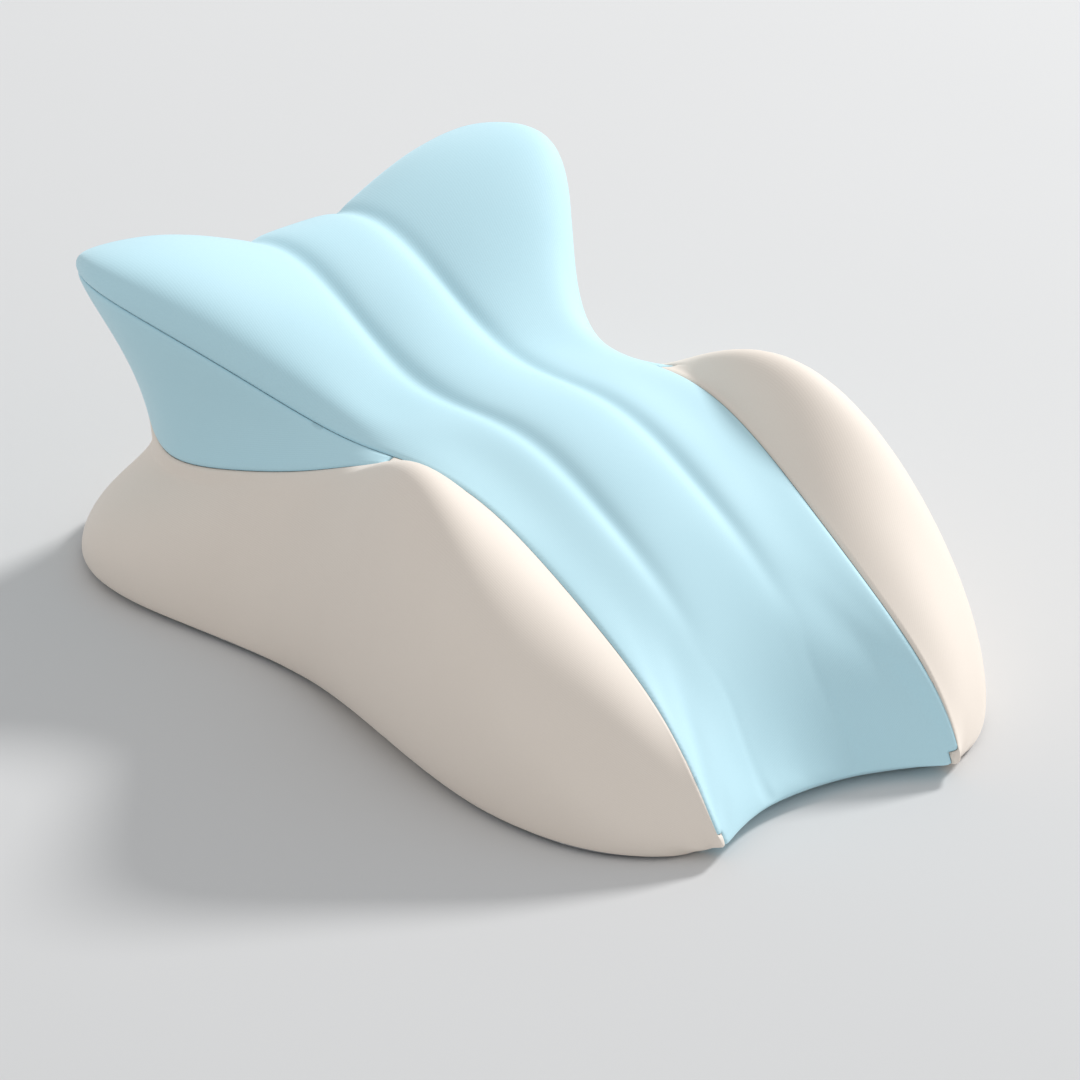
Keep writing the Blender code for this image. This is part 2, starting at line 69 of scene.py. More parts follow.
import bmesh
import bpy
import numpy as np
from mathutils import Matrix, Vector
from mathutils.kdtree import KDTree

MM = 0.001
print("parts:", ", ".join(sorted(nodes)))

# %% [markdown]
# ## The camera
#
# The pillow is seen from its low end and its left, from a little above, through a very long lens. A long
# lens keeps parallel seams parallel. The camera leans by two degrees, so it is built from its own three
# directions instead of being aimed with a constraint.

# %% Place the camera
TURN = math.radians(39.3)
TIP = math.radians(28.2)
LEAN = math.radians(2.2)
DISTANCE = 8.0
VIEW_WIDTH = 0.4472
LOOK_AT = Vector((0.0, 0.0195, 0.056))
SHIFT_RIGHT = 8.3 * MM
SHIFT_DOWN = 19.1 * MM
SENSOR_WIDTH = 36

level = Vector((math.cos(TURN), -math.sin(TURN), 0))
rise = Vector((math.sin(TURN) * math.sin(TIP), math.cos(TURN) * math.sin(TIP), math.cos(TIP)))
right = math.cos(LEAN) * level + math.sin(LEAN) * rise
up = math.cos(LEAN) * rise - math.sin(LEAN) * level
back = right.cross(up)
centre = LOOK_AT + SHIFT_RIGHT * right - SHIFT_DOWN * up

bpy.ops.object.camera_add()
camera = bpy.context.object
camera.name = "studio_camera"
facing = Matrix((right, up, back)).transposed().to_4x4()
camera.matrix_world = Matrix.Translation(centre + DISTANCE * back) @ facing
camera.data.sensor_width = SENSOR_WIDTH
camera.data.lens = SENSOR_WIDTH * DISTANCE / VIEW_WIDTH
camera.data.clip_start = 0.5
camera.data.clip_end = 60
bpy.context.scene.camera = camera
print("lens in mm:", round(camera.data.lens))

# %% [markdown]
# ## Writing materials as sums
#
# A material is a small calculation that is done at every point of a surface. Wiring it by hand takes a
# long time, so this class lets a socket be added, multiplied and compared like a number. Every sum adds
# one Math node. Any other node comes from the one method called make.

# %% A socket that does sums
class Wire:
    """The output of one shader node."""

    def __init__(self, tree, socket):
        self.tree = tree
        self.socket = socket

    def make(self, kind, settings, inputs, output=0):
        """Adds a node: first its settings, then the values or wires of its sockets."""
        node = self.tree.nodes.new(kind)
        for name, value in settings.items():
            setattr(node, name, value)
        for key, value in inputs.items():
            if isinstance(value, Wire):
                self.tree.links.new(value.socket, node.inputs[key])
            else:
                node.inputs[key].default_value = value
        return Wire(self.tree, node.outputs[output])

    def sum(self, operation, *terms):
        """One Math node for the operation on the terms."""
        return self.make("ShaderNodeMath", {"operation": operation}, dict(enumerate(terms)))

    def put_through(self, operation):
        """The operation done on this one value."""
        return self.sum(operation, self)

    def __add__(self, other):
        return self.sum("ADD", self, other)

    __radd__ = __add__

    def __sub__(self, other):
        return self.sum("SUBTRACT", self, other)

    def __rsub__(self, other):
        return self.sum("SUBTRACT", other, self)

    def __mul__(self, other):
        return self.sum("MULTIPLY", self, other)

    __rmul__ = __mul__

    def __truediv__(self, other):
        return self.sum("DIVIDE", self, other)

    def __abs__(self):
        return self.put_through("ABSOLUTE")

    def split(self):
        """The three parts of a place."""
        node = self.make("ShaderNodeSeparateXYZ", {}, {0: self}).socket.node
        return [Wire(self.tree, node.outputs[axis]) for axis in "XYZ"]

    def fade(self, start, stop):
        """1 at start, falling softly to 0 at stop."""
        ends = {"Value": self, "From Min": start, "From Max": stop, "To Min": 1.0, "To Max": 0.0}
        return self.make("ShaderNodeMapRange", {"interpolation_type": "SMOOTHSTEP"}, ends)

    def noise(self, scale, detail=2.0):
        """A cloudy value round a half, with patches of about 1 / scale metres."""
        return self.make("ShaderNodeTexNoise", {}, {"Vector": self, "Scale": scale, "Detail": detail})

    def blend(self, first, second):
        """The first colour where this is 0, and the second where it is 1."""
        return self.make("ShaderNodeMix", {"data_type": "RGBA"}, {0: self, 6: first, 7: second}, 2)

    def relief(self, depth, strength=1.0, under=None):
        """A surface normal that makes this height, from 0 to 1, look depth metres tall."""
        inputs = {"Height": self, "Distance": depth, "Strength": strength}
        if under is not None:
            inputs["Normal"] = under
        return self.make("ShaderNodeBump", {}, inputs)


def new_finish(name):
    """A new material, and the place on the object as a wire."""
    finish = bpy.data.materials.new(name)
    finish.use_nodes = True
    tree = finish.node_tree
    coordinates = tree.nodes.new("ShaderNodeTexCoord")
    return finish, Wire(tree, coordinates.outputs["Object"])


def set_surface(finish, **values):
    """Fills the sockets of the main shader. An underscore in a name stands for a space."""
    shader = finish.node_tree.nodes["Principled BSDF"]
    for name, value in values.items():
        socket = shader.inputs[name.replace("_", " ")]
        if isinstance(value, Wire):
            finish.node_tree.links.new(value.socket, socket)
        else:
            socket.default_value = value
    print("finish:", finish.name, "with", len(finish.node_tree.nodes), "nodes")


# %% [markdown]
# ## The knitted cover cloth
#
# The cover is a stretch knit with a silky face. Close up it is columns of small V-shaped loops. Further
# away only its soft sheen shows. The loops follow a flat pattern of each panel, called a UV map, that is
# made further down in real metres. Near a seam the cloth is pulled into tiny even puckers by the thread,
# and where it turns down into the seam its colour is painted darker, as painted shade.

# %% Knit finish
CLOTH_MAP = "cloth"
WALE = 0.9 * MM
COURSE = 0.7 * MM
STITCH = 2.6 * MM
TURN_CYCLE = 2 * math.pi
LOOP_HEIGHT = 0.05 * MM
PUCKER_HEIGHT = 0.12 * MM


def knit_relief(place):
    """The height of the loops, from 0 to 1."""
    flat = place.make("ShaderNodeUVMap", {"uv_map": CLOTH_MAP}, {})
    across, along, _ = flat.split()
    lean = abs((across / WALE).put_through("FRACT") - 0.5)
    rib = 1 - 4 * (lean * lean)
    loop = ((along / COURSE + 1.1 * lean) * TURN_CYCLE).put_through("SINE")
    return rib * (0.75 + 0.25 * loop)


def seam_puckers(place):
    """The distance from the seam, and the small even waves that the thread pulls into the cloth there."""
    from_seam = place.make("ShaderNodeAttribute", {"attribute_name": "from_seam"}, {}, "Fac")
    along_seam = place.make("ShaderNodeAttribute", {"attribute_name": "along_seam"}, {}, "Fac")
    wave = (along_seam * (TURN_CYCLE / STITCH)).put_through("COSINE")
    beside = from_seam.fade(0.6 * MM, 2.4 * MM)
    return from_seam, 0.5 + 0.5 * (wave * beside)


def knit(name, face, darker_tone_and_shade, sheen):
    """A silky stretch knit: its own colour, a darker colour for random tone and for the painted shade beside
    seams, and its sheen colour.
    """
    finish, place = new_finish(name)
    from_seam, puckers = seam_puckers(place)
    clouds = place.noise(22.0)
    melange = place.noise(1400.0, 1.0)
    # Painted shade: the colour is darkened within about a millimetre of each seam, where the cloth turns
    # down.
    painted_seam_shade = from_seam.fade(0.1 * MM, 1.3 * MM)
    # The darker colour comes partly from random clouds and melange and partly from the painted seam shade.
    tone_and_painted_shade = 0.14 * clouds + 0.08 * melange + 0.40 * painted_seam_shade
    normal = knit_relief(place).relief(LOOP_HEIGHT, 0.35, puckers.relief(PUCKER_HEIGHT, 0.5))
    set_surface(
        finish,
        Base_Color=tone_and_painted_shade.blend(face, darker_tone_and_shade),
        Roughness=0.62 + 0.12 * clouds,
        Normal=normal,
        Specular_IOR_Level=0.3,
        Sheen_Weight=0.35,
        Sheen_Roughness=0.45,
        Sheen_Tint=sheen,
    )
    return finish


# %% Blue and cream cloth
# The second colour of each cloth is darker. It gives random tone and the painted shade beside seams.
blue = knit("silky_blue_knit", (0.60, 0.88, 0.97, 1), (0.38, 0.66, 0.78, 1), (0.85, 0.96, 1.0, 1))
cream = knit("silky_cream_knit", (0.945, 0.85, 0.755, 1), (0.68, 0.575, 0.49, 1), (1.0, 0.95, 0.90, 1))

# %% [markdown]
# ## The anti-slip base cloth
#
# The underside is a flat grey cloth printed with small clear rubber dots, in staggered rows, which stop
# the pillow sliding. Each dot is a shallow dome, so it is drawn as relief and as a glossier, paler spot.

# %% Base finish
DOT_PITCH = 8 * MM
DOT_RADIUS = 1.5 * MM
DOT_TOP = 0.55 * DOT_RADIUS
DOT_HEIGHT = 0.5 * MM


def staggered_dots(place):
    """1 on the dots and 0 between them."""
    x, y, _ = place.split()
    spots = []
    for shift in (0.0, 0.5):
        dx = (x / DOT_PITCH + shift).put_through("FRACT") - 0.5
        dy = (y / DOT_PITCH + shift).put_through("FRACT") - 0.5
        reach = (dx * dx + dy * dy).put_through("SQRT")
        spots.append(reach.fade(DOT_TOP / DOT_PITCH, DOT_RADIUS / DOT_PITCH))
    return spots[0].sum("MAXIMUM", *spots)


def dotted_base():
    """Grey cloth with paler, glossier dots."""
    finish, place = new_finish("dotted_grey_base")
    dots = staggered_dots(place)
    clouds = place.noise(60.0)
    fibres = place.noise(1800.0)
    cloth = (0.5 * clouds + 0.5 * fibres).blend((0.33, 0.34, 0.36, 1), (0.46, 0.47, 0.49, 1))
    normal = fibres.relief(0.08 * MM, 0.5, dots.relief(DOT_HEIGHT))
    set_surface(
        finish,
        Base_Color=dots.blend(cloth, (0.70, 0.72, 0.74, 1)),
        Roughness=0.9 - 0.5 * dots,
        Normal=normal,
        Sheen_Weight=0.1,
    )
    return finish


base_cloth = dotted_base()

# %% [markdown]
# ## Foam
#
# The core is one slow-recovery foam moulding. It only shows when the cover is unzipped. Its skin is matt
# and full of pin holes, with faint yellowing in patches.

# %% Foam finish
def moulded_foam():
    """Matt foam with pin holes, which are also painted darker as shade."""
    finish, place = new_finish("moulded_foam")
    cells = place.make("ShaderNodeTexVoronoi", {}, {"Vector": place, "Scale": 900.0})
    holes = cells.fade(0.15, 0.45)
    clouds = place.noise(18.0)
    # Painted shade: the pin holes take the darker yellowed colour, on top of the random yellowing patches.
    colour = (0.7 * clouds + 0.3 * holes).blend((0.86, 0.84, 0.76, 1), (0.70, 0.63, 0.47, 1))
    normal = (1 - holes).relief(0.3 * MM, 0.6)
    set_surface(finish, Base_Color=colour, Roughness=0.85 + 0.1 * clouds, Normal=normal)
    return finish


foam_finish = moulded_foam()

# %% [markdown]
# ## The finishes of the zip
#
# The zip is dyed to match the cloth. Its tape is a tight herringbone weave, its teeth are smooth nylon,
# and its slider and pull are nickel-plated with fine brushing and slightly brighter worn patches.

# %% Zip finishes
WEAVE = 0.55 * MM


def woven_tape():
    """A herringbone of two slanting waves."""
    finish, place = new_finish("woven_zip_tape")
    x, _, z = place.split()
    slant = (x + z) * (TURN_CYCLE / WEAVE)
    other = (x - z) * (TURN_CYCLE / WEAVE)
    weave = 0.5 + 0.25 * slant.put_through("SINE") + 0.25 * other.put_through("SINE")
    fibres = place.noise(2500.0)
    colour = (0.6 * weave + 0.4 * fibres).blend((0.30, 0.55, 0.66, 1), (0.45, 0.73, 0.84, 1))
    normal = weave.relief(0.08 * MM, 0.7)
    set_surface(finish, Base_Color=colour, Roughness=0.8 + 0.1 * fibres, Normal=normal)
    return finish


def moulded_nylon():
    """Smooth dyed nylon, a little cloudy."""
    finish, place = new_finish("moulded_nylon_teeth")
    clouds = place.noise(700.0)
    colour = clouds.blend((0.42, 0.72, 0.84, 1), (0.55, 0.82, 0.92, 1))
    normal = clouds.relief(0.04 * MM, 0.4)
    set_surface(finish, Base_Color=colour, Roughness=0.32 + 0.15 * clouds, Normal=normal)
    return finish


def brushed_nickel():
    """Plated metal with fine brushing along its length and brighter worn patches."""
    finish, place = new_finish("brushed_nickel")
    x, y, z = place.split()
    lines = place.make("ShaderNodeCombineXYZ", {}, {0: 40 * x, 1: 900 * y, 2: 900 * z})
    brushing = lines.noise(3.0, 3.0)
    wear = place.noise(260.0)
    colour = wear.blend((0.60, 0.59, 0.57, 1), (0.78, 0.77, 0.75, 1))
    set_surface(
        finish,
        Base_Color=colour,
        Metallic=1.0,
        Roughness=0.2 + 0.18 * brushing,
        Normal=brushing.relief(0.02 * MM, 0.5),
    )
    return finish


tape_finish = woven_tape()
nylon = moulded_nylon()
nickel = brushed_nickel()

FINISH_OF = {
    "zip_tape_upper": tape_finish,
    "zip_tape_lower": tape_finish,
    "zip_teeth_upper": nylon,
    "zip_teeth_lower": nylon,
    "zip_slider": nickel,
    "zip_pull_tab": nickel,
    "zip_top_stop_upper": nickel,
    "zip_top_stop_lower": nickel,
    "zip_bottom_stop": nickel,
}
for part, finish in FINISH_OF.items():
    for slot in nodes[part].material_slots:
        slot.material = finish
print("zip parts finished:", len(FINISH_OF))

# %% [markdown]
# ## One skin over the whole pillow
#
# A sewn cover is smooth, and it runs on over a seam in one curve. So the whole pillow is first one closed
# skin, and it is parted into panels later. The skin starts as a coarse cage: a grid for the top, whose
# edge is extruded down ring by ring to the floor, and a second grid for the underside. A rail says how
# far out and how high each ring runs from the low end to the head end. Subdivision turns it smooth.

# %% Helpers for selecting and editing
PANELS = (
    "top_panel",
    "band_left",
    "band_right",
    "band_rear",
    "side_panel_left",
    "side_panel_right",
    "base_panel",
)


def only(piece):
    """Makes this the one selected and active object."""
    bpy.ops.object.select_all(action="DESELECT")
    piece.select_set(True)
    bpy.context.view_layer.objects.active = piece


def edit(piece, everything):
    """Opens the piece in edit mode, with everything or nothing selected."""
    only(piece)
    bpy.ops.object.mode_set(mode="EDIT")
    bpy.ops.mesh.select_mode(type="VERT")
    bpy.ops.mesh.select_all(action="SELECT" if everything else "DESELECT")


def done():
    """Goes back to object mode."""
    bpy.ops.object.mode_set(mode="OBJECT")


def new_piece(name, mesh):
    """An object at the origin for this mesh."""
    piece = bpy.data.objects.new(name, mesh)
    bpy.context.scene.collection.objects.link(piece)
    return piece


def apply_subdivision(piece, levels):
    """Smooths a piece for good."""
    only(piece)
    smoother = piece.modifiers.new("Smoother", "SUBSURF")
    smoother.levels = levels
    smoother.render_levels = levels
    bpy.ops.object.modifier_apply(modifier=smoother.name)


# %% [markdown]
# ### The rails
#
# Each rail lists a few places along the pillow, at stations from 0 at the low end to 1 at the head end.
# A natural cubic curve through them gives the points between, as a bent batten does on a drawing board.
# The same few numbers shape the measured parts, so the cloth lies where they are.

# %% The rails, in millimetres
ROWS = np.array((0.0, 0.035, 0.10, 0.20, 0.31, 0.42, 0.53, 0.64, 0.75, 0.85, 0.93, 1.0))
HEAD_REST_ROW = 6
LAST_ROW = len(ROWS) - 1
COLUMNS = 6
STATIONS = (0.0, 0.035, 0.10, 0.25, 0.42, 0.55, 0.68, 0.82, 0.93, 1.0)
HEAD_STATIONS = (0.53, 0.64, 0.75, 0.85, 0.93, 1.0)
RAILS = {
    "seam": {
        "ends": (-38, 367),
        "across": (63, 65, 63, 65, 68, 73, 68, 128, 125, 100),
        "up": (7, 29, 51, 77, 103, 93, 83, 133, 130, 123),
    },
    "band": {
        "ends": (10, 338),
        "across": (70, 74, 84, 104, 99, 98),
        "up": (88, 79, 87, 90, 93, 99),
    },
    "join": {
        "ends": (-5, 339),
        "across": (66, 81, 103, 105, 84, 72),
        "up": (87, 73, 59, 41, 50, 57),
    },
    "valley": {
        "ends": (-31, 346),
        "across": (69, 78, 87, 88, 82, 81, 92, 109, 85, 60),
        "up": (6, 28, 56, 88, 121, 97, 57, 54, 39, 28),
    },
    "crest": {
        "ends": (-31, 347),
        "across": (73, 85, 104, 123, 107, 81, 91, 107, 87, 67),
        "up": (5, 17, 33, 81, 137, 96, 59, 52, 38, 20),
    },
    "bulge": {
        "ends": (-26, 347),
        "across": (78, 98, 114, 132, 131, 118, 112, 140, 123, 82),
        "up": (4, 13, 35, 49, 34, 30, 31, 27, 22, 16),
    },
    "floor": {
        "ends": (-23, 344),
        "across": (77, 99, 114, 121, 102, 107, 120, 132, 124, 106),
        "up": (0,) * len(STATIONS),
    },
}
RINGS = ("seam", "band", "join", "valley", "crest", "bulge", "lower", "floor")
FLOOR_RING = len(RINGS) - 1
SEAM_TUCK = (1.5, 3.0)
LOWER_HEIGHT = 7
LOWER_SHARE = 0.4
LOWER_TUCK = 0.25
NOSE_HEIGHT = 7
NOSE_UNDERCUT = 8
MIDDLE_ENDS = (-16, 346)
MIDDLE_UP = (7, 13, 50, 85, 110, 104, 99, 122, 123, 110)
SWELL_STATIONS = (0.0, 0.2, 0.5, 0.75, 1.0)
MID_SWELL = (0, -2, -2, 6, 12)
EDGE_SWELL = (0, 0, 1, 12, 2)
MID_SHARE = 0.45
EDGE_SHARE = 0.82
EDGE_SHARE_FRONT = 0.985
FRONT_STRETCH = 0.1
GROOVE_MIDDLE = 24
GROOVE_HALF_WIDTH = 7.5
GROOVE_DEPTH = 4
GROOVE_START = 0.16
GROOVE_END = 0.32
print("rails:", ", ".join(RAILS))


# %% A smooth curve through a rail's points
def curve_through(stations, values, at):
    """A natural cubic curve through the values at their stations."""
    x = np.array(stations, float)
    y = np.array(values, float)
    step = np.diff(x)
    count = len(x)
    system = np.eye(count)
    target = np.zeros(count)
    for i in range(1, count - 1):
        system[i, i - 1:i + 2] = step[i - 1], 2 * (step[i - 1] + step[i]), step[i]
        target[i] = 6 * ((y[i + 1] - y[i]) / step[i] - (y[i] - y[i - 1]) / step[i - 1])
    bend = np.linalg.solve(system, target)
    at = np.maximum(np.array(at, float), x[0])
    left = np.clip(np.searchsorted(x, at) - 1, 0, count - 2)
    width = step[left]
    a = (x[left + 1] - at) / width
    b = (at - x[left]) / width
    bow = ((a**3 - a) * bend[left] + (b**3 - b) * bend[left + 1]) * width**2 / 6
    return a * y[left] + b * y[left + 1] + bow


def ring_points():
    """The points of each ring on the +X side, one for each row, in millimetres."""
    rings = {}
    for name, rail in RAILS.items():
        stations = STATIONS if len(rail["across"]) == len(STATIONS) else HEAD_STATIONS
        start, stop = rail["ends"]
        across = curve_through(stations, rail["across"], ROWS)
        up = curve_through(stations, rail["up"], ROWS)
        rings[name] = np.stack([across, start + (stop - start) * ROWS, up], axis=1)
    # Ahead of the head rest the band closes up, so its two rails are tucked in beside the seam.
    toward = rings["valley"] - rings["seam"]
    toward /= np.linalg.norm(toward, axis=1)[:, None]
    tucked = slice(0, HEAD_REST_ROW + 1)
    for name, tuck in zip(("band", "join"), SEAM_TUCK):
        rings[name][tucked] = (rings["seam"] + toward * tuck)[tucked]
    lower = rings["bulge"].copy()
    lower[:, 0] += LOWER_TUCK * (rings["floor"][:, 0] - rings["bulge"][:, 0])
    lower[:, 2] = np.minimum(LOWER_HEIGHT, rings["bulge"][:, 2] * LOWER_SHARE)
    rings["lower"] = lower
    for index, name in enumerate(RINGS):
        rings[name][0, 2] = NOSE_HEIGHT * (1 - index / FLOOR_RING)
    return rings


def top_columns(seam):
    """The points of the top, column by column from the middle to the seam, one for each row."""
    middle_up = curve_through(STATIONS, MIDDLE_UP, ROWS)
    middle_up[0] = NOSE_HEIGHT
    mid_swell = curve_through(SWELL_STATIONS, MID_SWELL, ROWS)
    edge_swell = curve_through(SWELL_STATIONS, EDGE_SWELL, ROWS)
    depth = GROOVE_DEPTH * np.clip((ROWS - GROOVE_START) / (GROOVE_END - GROOVE_START), 0, 1)
    reach = seam[:, 0]
    none = np.zeros(len(ROWS))
    outer = none + GROOVE_MIDDLE + GROOVE_HALF_WIDTH
    edge_share = np.interp(ROWS, (0.0, FRONT_STRETCH), (EDGE_SHARE_FRONT, EDGE_SHARE))
    columns = (
        (none, none),
        (none + GROOVE_MIDDLE - GROOVE_HALF_WIDTH, none),
        (none + GROOVE_MIDDLE, -depth),
        (outer, none),
        (outer + (reach - outer) * MID_SHARE, mid_swell),
        (outer + (reach - outer) * edge_share, edge_swell),
        (reach, none),
    )
    made = []
    for across, swell in columns:
        share = (across / reach) ** 2
        up = middle_up + (seam[:, 2] - middle_up) * share + swell
        first = MIDDLE_ENDS[0] + (seam[0, 1] - MIDDLE_ENDS[0]) * share
        last = MIDDLE_ENDS[1] + (seam[-1, 1] - MIDDLE_ENDS[1]) * share
        made.append(np.stack([across, first + (last - first) * ROWS, up], axis=1))
    return made


# %% Where a cage point goes, and which panel a cage face belongs to
def cage_place(rings, columns, row, column, ring):
    """Ring 0 is the top's own edge, and the underside counts as the floor ring."""
    side = -1 if column < 0 else 1
    top = columns[abs(column)]
    if ring == 0:
        return Vector((side * top[row, 0], top[row, 1], top[row, 2]))
    points = rings[RINGS[ring]]
    if abs(column) == COLUMNS:
        return Vector((side * points[row, 0], points[row, 1], points[row, 2]))
    share = top[row, 0] / columns[COLUMNS][row, 0]
    setback = share**2 * (points[0, 1] - columns[COLUMNS][0, 1])
    undercut = (1 - share**2) * NOSE_UNDERCUT * (ring / FLOOR_RING) ** 2
    front = top[0, 1] + setback + undercut
    along = front + (points[LAST_ROW, 1] - front) * ROWS[row]
    across = top[0, 0] if row == 0 else points[row, 0] * share
    return Vector((side * across, along, points[row, 2]))


def panel_of(rows, columns, rings, underside):
    """The cover panel of a cage face, from the rows, columns and rings of its corners."""
    corner = max(abs(column) for column in columns) == COLUMNS
    side = "left" if sum(columns) < 0 else "right"
    if underside:
        return "base_panel"
    if max(rings) == 0 or (max(rows) == 0 and not corner):
        return "top_panel"
    if max(rings) <= 2 and min(rows) == LAST_ROW:
        return "band_rear"
    if max(rings) <= 2 and min(rows) >= HEAD_REST_ROW:
        return "band_" + side
    return "side_panel_" + side


# %% Build the cage
WELD = 0.001 * MM


def build_cage():
    """A grid for the top, its edge extruded down ring by ring, and a second grid for the underside."""
    shape = bmesh.new()
    row_of = shape.verts.layers.int.new("row")
    column_of = shape.verts.layers.int.new("column")
    ring_of = shape.verts.layers.int.new("ring")
    bmesh.ops.create_grid(shape, x_segments=2 * COLUMNS, y_segments=LAST_ROW, size=1.0)
    for vertex in shape.verts:
        vertex[column_of] = round(vertex.co.x * COLUMNS)
        vertex[row_of] = round((vertex.co.y + 1) / 2 * LAST_ROW)
    copied = bmesh.ops.duplicate(shape, geom=shape.verts[:] + shape.edges[:] + shape.faces[:])["geom"]
    underside = {item for item in copied if isinstance(item, bmesh.types.BMFace)}
    for vertex in {vertex for face in underside for vertex in face.verts}:
        vertex[ring_of] = FLOOR_RING
    edge = [item for item in shape.edges if item.is_boundary and item.verts[0][ring_of] == 0]
    for ring in range(1, FLOOR_RING + 1):
        grown = bmesh.ops.extrude_edge_only(shape, edges=edge)["geom"]
        for item in grown:
            if isinstance(item, bmesh.types.BMVert):
                item[ring_of] = ring
        edges = [item for item in grown if isinstance(item, bmesh.types.BMEdge)]
        edge = [item for item in edges if all(vertex[ring_of] == ring for vertex in item.verts)]
    rings = ring_points()
    columns = top_columns(rings["seam"])
    for vertex in shape.verts:
        vertex.co = MM * cage_place(rings, columns, vertex[row_of], vertex[column_of], vertex[ring_of])
    for face in shape.faces:
        tags = [[vertex[layer] for vertex in face.verts] for layer in (row_of, column_of, ring_of)]
        face.material_index = PANELS.index(panel_of(*tags, face in underside))
    floor_points = [vertex for vertex in shape.verts if vertex[ring_of] == FLOOR_RING]
    bmesh.ops.remove_doubles(shape, verts=floor_points, dist=WELD)
    bmesh.ops.recalc_face_normals(shape, faces=shape.faces[:])
    mesh = bpy.data.meshes.new("skin")
    for marker in markers:
        mesh.materials.append(marker)
    shape.to_mesh(mesh)
    shape.free()
    return new_piece("skin", mesh)


markers = [bpy.data.materials.new("marker_" + panel) for panel in PANELS]
skin = build_cage()
print("cage faces:", len(skin.data.polygons))

# %% Scale the cage until the smoothed skin fills the measured box
trial = new_piece("trial", skin.data.copy())
apply_subdivision(trial, 1)
points = np.array([vertex.co[:] for vertex in trial.data.vertices])
bpy.data.objects.remove(trial)
trial_low, trial_high = points.min(axis=0), points.max(axis=0)
scale = np.array(cad_high - cad_low) / (trial_high - trial_low)
middle = np.array([0.0, (trial_low[1] + trial_high[1]) / 2, trial_low[2]])
for vertex in skin.data.vertices:
    vertex.co = Vector((np.array(vertex.co[:]) - middle) * scale)
apply_subdivision(skin, 1)
print("scaled by:", [round(v, 4) for v in scale], " skin faces:", len(skin.data.polygons))


# %% Seam lines of the skin
def seam_edges(shape):
    """Edges with two different panels beside them."""
    return [edge for edge in shape.edges if len({face.material_index for face in edge.link_faces}) > 1]


shape = bmesh.new()
shape.from_mesh(skin.data)
for edge in seam_edges(shape):
    edge.seam = True
print("open edges:", sum(edge.is_boundary for edge in shape.edges), " seam edges:", len(seam_edges(shape)))
shape.to_mesh(skin.data)
shape.free()

# %% [markdown]
# ## The flat pattern
#
# A cover is cut from flat cloth, so its loops run straight in the flat pattern of each panel. The unwrap
# lays the panels flat along their seams. The map is then scaled so that one unit of it is one metre.

# %% Unwrap and scale to metres
skin.data.uv_layers.new(name=CLOTH_MAP)
edit(skin, True)
bpy.ops.uv.unwrap(method="CONFORMAL", margin=0.002)
done()


def flat_area(mesh, layer):
    """The area of all the faces in the flat pattern."""
    total = 0.0
    for polygon in mesh.polygons:
        corners = [layer.data[i].uv for i in polygon.loop_indices]
        for first, second in zip(corners, corners[1:] + corners[:1]):
            total += (first.x * second.y - second.x * first.y) / 2
    return abs(total)


layer = skin.data.uv_layers[CLOTH_MAP]
stretch = math.sqrt(sum(p.area for p in skin.data.polygons) / flat_area(skin.data, layer))
for corner in layer.data:
    corner.uv = corner.uv * stretch
print("cloth used in square decimetres:", round(100 * sum(p.area for p in skin.data.polygons), 1))

# %% [markdown]
# ## Filling the cover
#
# Over a foam core the cloth stands a millimetre or two proud in the middle of each panel and is held down
# at its seams and in the two grooves. Blender's cloth simulation does that: seams, grooves and the flat
# base are pinned, and a gentle pressure lifts the rest. A limit on the movement keeps the pillow's size.

# %% Where the zip is
tape_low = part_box("zip_tape_lower")[0]
tape_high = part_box("zip_tape_upper")[1]
zip_height = (tape_low.z + tape_high.z) / 2
ZIP_REACH = 2 * MM
print("zip height in mm:", round(1000 * zip_height, 1))


def near_zip(point, extra):
    """True within a margin of the zip's long narrow rectangle of tape."""
    inside_x = abs(point.x) < tape_high.x + extra
    inside_z = abs(point.z - zip_height) < (tape_high.z - tape_low.z) / 2 + extra
    return inside_x and inside_z and point.y > tape_low.y - ZIP_REACH


# %% [markdown]
# ### Holding the cloth down
#
# The two grooves are stitched through to the foam, so their bottoms are held while the cloth fills. At
# the low end they fade out, and there the cloth is left free, or a dent would stay behind.

# %% Where the grooves are
GROOVE_OFFSET = GROOVE_MIDDLE * MM
GROOVE_PINNED = 0.25
GROOVE_BOTTOM = 1.6 * MM
GROOVE_FROM = cad_low.y + 0.14 * (cad_high.y - cad_low.y)
GROOVE_FULL = cad_low.y + 0.34 * (cad_high.y - cad_low.y)


def groove_strength(y):
    """0 at the front end, rising softly to 1 where the groove is at its full depth."""
    share = min(1.0, max(0.0, (y - GROOVE_FROM) / (GROOVE_FULL - GROOVE_FROM)))
    return share * share * (3 - 2 * share)


# %% Puff the skin with a cloth simulation
PUFF = 1.5 * MM
FRAMES = 20
HELD_BESIDE_ZIP = 12 * MM
TINY = 1e-9


def on_groove(point):
    """True on the stitched bottom of a groove, where the groove is deep enough to hold the cloth."""
    close = abs(abs(point.x) - GROOVE_OFFSET) < GROOVE_BOTTOM
    return close and groove_strength(point.y) > GROOVE_PINNED


def held_points(mesh):
    """Numbers of the vertices that don't move: seams, groove bottoms, the base and all round the zip."""
    shape = bmesh.new()
    shape.from_mesh(mesh)
    held = {v.index for edge in seam_edges(shape) for v in edge.verts}
    for face in shape.faces:
        if face.material_index == PANELS.index("base_panel"):
            held |= {v.index for v in face.verts}
        if face.material_index == PANELS.index("top_panel"):
            held |= {v.index for v in face.verts if on_groove(v.co)}
        if face.material_index == PANELS.index("band_rear"):
            held |= {v.index for v in face.verts if near_zip(v.co, HELD_BESIDE_ZIP)}
    shape.free()
    return sorted(held)


